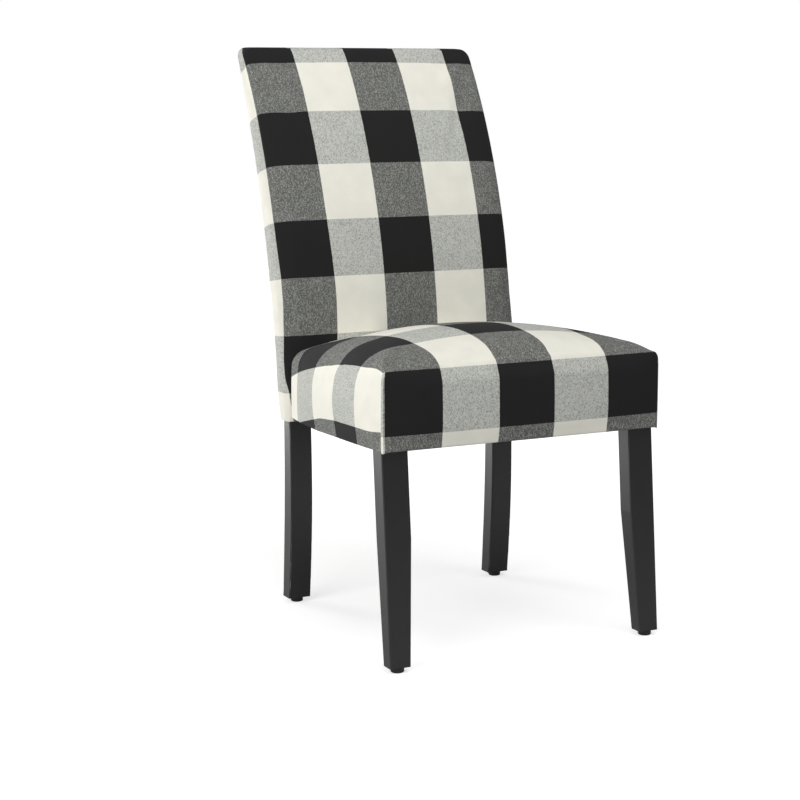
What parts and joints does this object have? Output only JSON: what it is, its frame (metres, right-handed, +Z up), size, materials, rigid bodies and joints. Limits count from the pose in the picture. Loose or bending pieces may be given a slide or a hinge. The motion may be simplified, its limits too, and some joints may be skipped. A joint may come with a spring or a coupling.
{
  "type": "parsons chair",
  "caption": "Armless upholstered dining chair: crowned square-edged seat, tall back curving rearwards, check-covered, on tapered dark wooden legs with small glides.",
  "frame": {"origin": "on the floor, under the middle of the chair's overall width and depth", "axes": "+X to the right seen from the front, +Y to the rear of the chair, +Z up"},
  "size_m": [0.5092, 0.6604, 0.9779],
  "materials": {
    "espresso_wood": "solid hardwood stained espresso, satin lacquer",
    "frame_wood": "planed hardwood, unfinished",
    "beech": "turned beech, unfinished",
    "fibreboard": "thin bent fibreboard, unfinished",
    "webbing": "woven jute strap",
    "deck_cloth": "plain woven cotton",
    "foam": "flexible polyurethane foam",
    "wadding": "bonded polyester fibre",
    "check_cloth": "woven cloth in a large check of black, grey and cream, matt",
    "dust_cloth": "non-woven black cloth",
    "zinc_steel": "zinc-plated steel",
    "black_plastic": "moulded black plastic"
  },
  "bodies": {
    "root": {"front_leg_right": "espresso_wood", "front_leg_left": "espresso_wood", "back_post_right": "espresso_wood", "back_post_left": "espresso_wood", "seat_rail_front": "frame_wood", "seat_rail_rear": "frame_wood", "seat_rail_right": "frame_wood", "seat_rail_left": "frame_wood", "corner_block_front_right": "frame_wood", "corner_block_front_left": "frame_wood", "corner_block_rear_right": "frame_wood", "corner_block_rear_left": "frame_wood", "seat_webbing": "webbing", "seat_deck_cloth": "deck_cloth", "seat_foam": "foam", "seat_wadding": "wadding", "seat_front_pad": "foam", "seat_side_pad_right": "foam", "seat_side_pad_left": "foam", "seat_cover": "check_cloth", "dust_cover": "dust_cloth", "dust_cover_staples": "zinc_steel", "back_top_rail": "frame_wood", "back_lumbar_rail": "frame_wood", "back_bottom_rail": "frame_wood", "back_webbing": "webbing", "back_board": "fibreboard", "back_foam": "foam", "back_cover_front": "check_cloth", "back_cover_rear": "check_cloth", "seat_dowels": "beech", "back_dowels": "beech", "seat_bolts": "zinc_steel", "seat_bolt_washers": "zinc_steel", "seat_bolt_inserts": "zinc_steel", "leg_bolts": "zinc_steel", "leg_bolt_washers": "zinc_steel", "leg_bolt_nuts": "zinc_steel", "corner_block_screws": "zinc_steel", "glide_nails": "zinc_steel", "glide_front_left": "black_plastic", "glide_front_right": "black_plastic", "glide_rear_left": "black_plastic", "glide_rear_right": "black_plastic"}
  },
  "joints": []
}
